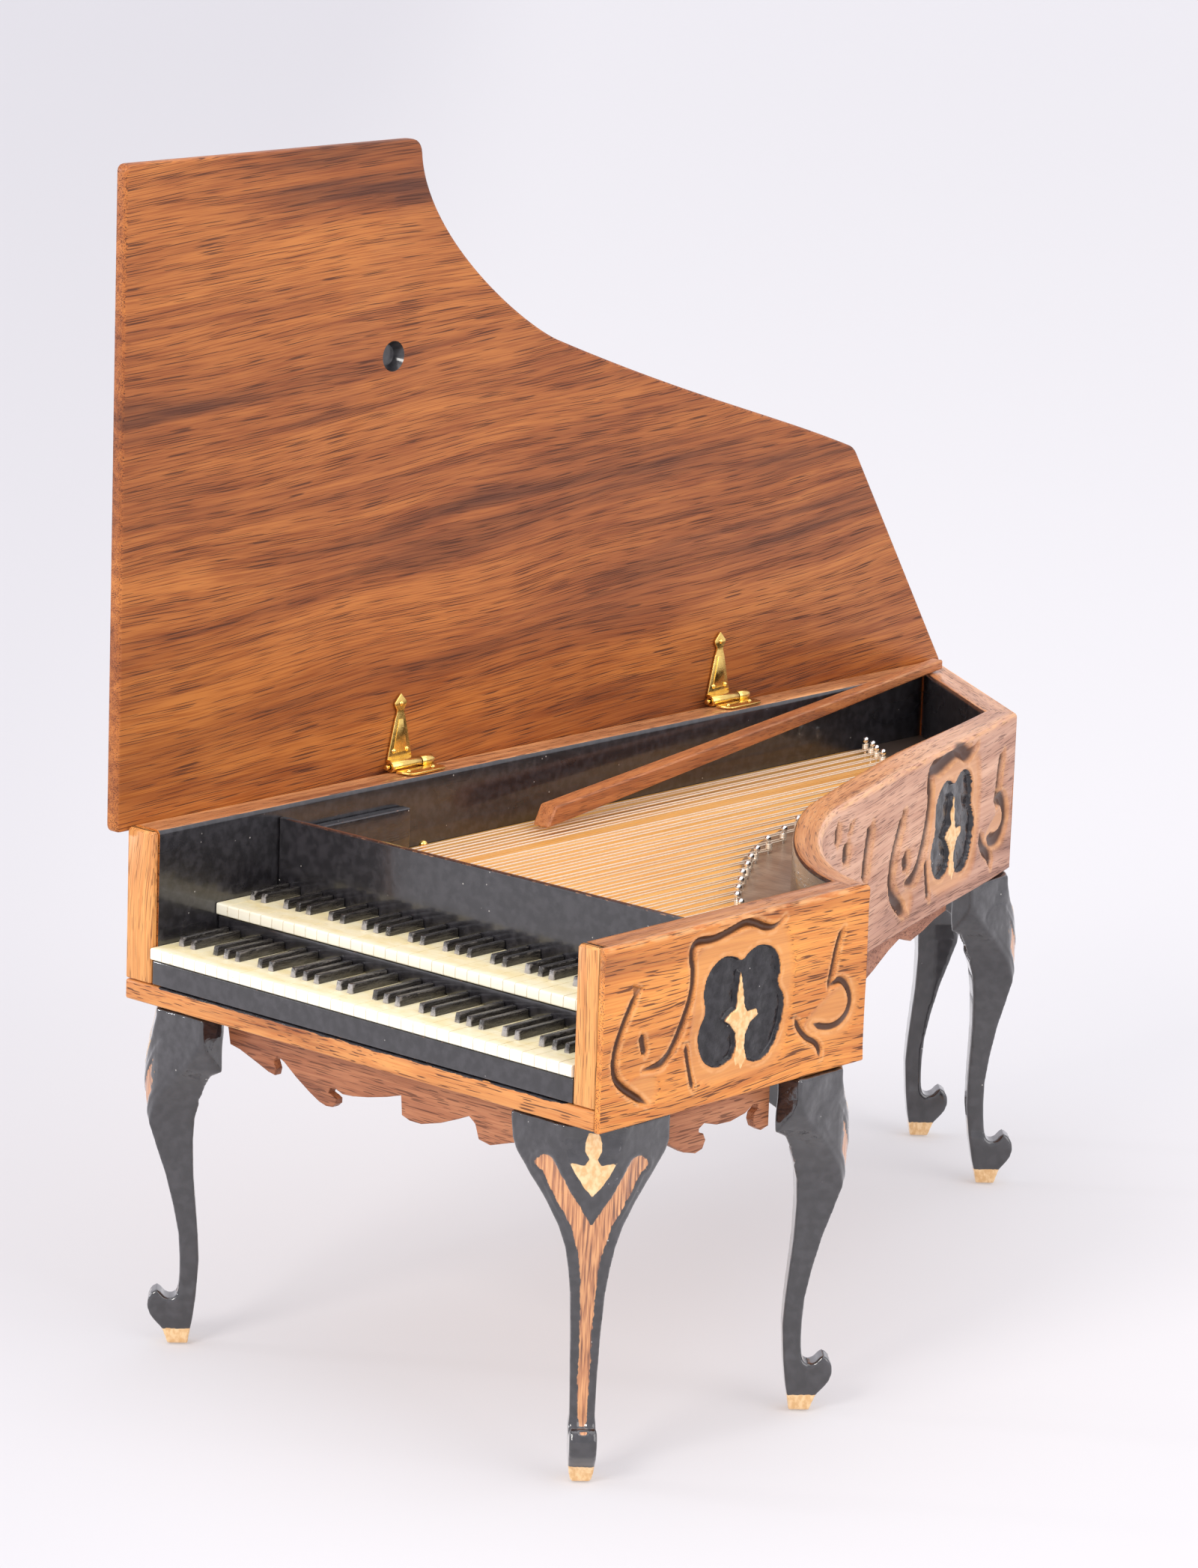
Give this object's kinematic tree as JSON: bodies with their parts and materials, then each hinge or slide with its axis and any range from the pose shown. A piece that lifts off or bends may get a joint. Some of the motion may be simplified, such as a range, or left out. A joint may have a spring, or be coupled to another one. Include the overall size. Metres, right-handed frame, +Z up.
{
  "type": "miniature harpsichord",
  "caption": "Doll's house harpsichord on cabriole legs, with two painted keyboards, laced strings, a carved walnut case, a hinged lid held upright and a loose prop stick.",
  "frame": {"origin": "on the floor under the centre of the whole instrument's footprint", "axes": "+X from the straight spine to the cheek, +Y from the keyboards to the tail, +Z up"},
  "size_m": [0.0782, 0.1556, 0.142],
  "materials": {
    "walnut": "oiled open-grained walnut",
    "raw_wood": "bare wood, unseen",
    "plate_wood": "dull brown veneer",
    "soundboard_wood": "varnished honey-coloured spruce",
    "black_paint": "black gloss paint on wood, worn at the edges",
    "ivory_paint": "cream paint, satin",
    "thread": "pale metallic thread",
    "steel": "bright pin wire",
    "brass": "polished brass sheet and pins"
  },
  "bodies": {
    "case": {"base_board": "walnut", "bass_hitch_pins": "steel", "bass_strings": "thread", "belly_rail": "raw_wood", "bentside_apron": "walnut", "bentside_wall": "walnut", "brass_bead": "brass", "cheek_apron": "walnut", "cheek_leg": "black_paint", "cheek_wall": "walnut", "front_apron": "walnut", "front_hinge_leaf": "brass", "front_hinge_pin": "brass", "front_leaf_nail_1": "brass", "front_leaf_nail_2": "brass", "front_left_leg": "black_paint", "front_right_leg": "black_paint", "front_stile_left": "walnut", "front_stile_right": "walnut", "hitch_pin_plate": "plate_wood", "key_bed": "raw_wood", "key_riser": "black_paint", "key_slip": "black_paint", "lower_naturals": "ivory_paint", "lower_sharps": "black_paint", "nameboard": "black_paint", "nut_rail": "walnut", "rear_hinge_leaf": "brass", "rear_hinge_pin": "brass", "rear_leaf_nail_1": "brass", "rear_leaf_nail_2": "brass", "soundboard": "soundboard_wood", "spine_cleat": "black_paint", "spine_wall": "walnut", "tail_left_leg": "black_paint", "tail_right_leg": "black_paint", "tail_wall": "walnut", "treble_hitch_pins": "steel", "treble_strings": "thread", "upper_naturals": "ivory_paint", "upper_sharps": "black_paint"},
    "lid": {"lid": "walnut", "front_hinge_strap": "brass", "front_strap_nail_1": "brass", "front_strap_nail_2": "brass", "front_strap_nail_3": "brass", "rear_hinge_strap": "brass", "rear_strap_nail_1": "brass", "rear_strap_nail_2": "brass", "rear_strap_nail_3": "brass"},
    "prop_stick": {"prop_stick": "walnut"}
  },
  "joints": [
    {"name": "lid_hinge", "type": "hinge", "parent": "case", "child": "lid", "pos_m": [-0.03605, 0.00034, 0.06462], "axis": [0, 1, 0], "range_deg": [0, 91.3]},
    {"name": "prop_stick_lift", "type": "slide", "parent": "case", "child": "prop_stick", "axis": [0, 0, 1], "range_m": [0, 0.06]}
  ]
}
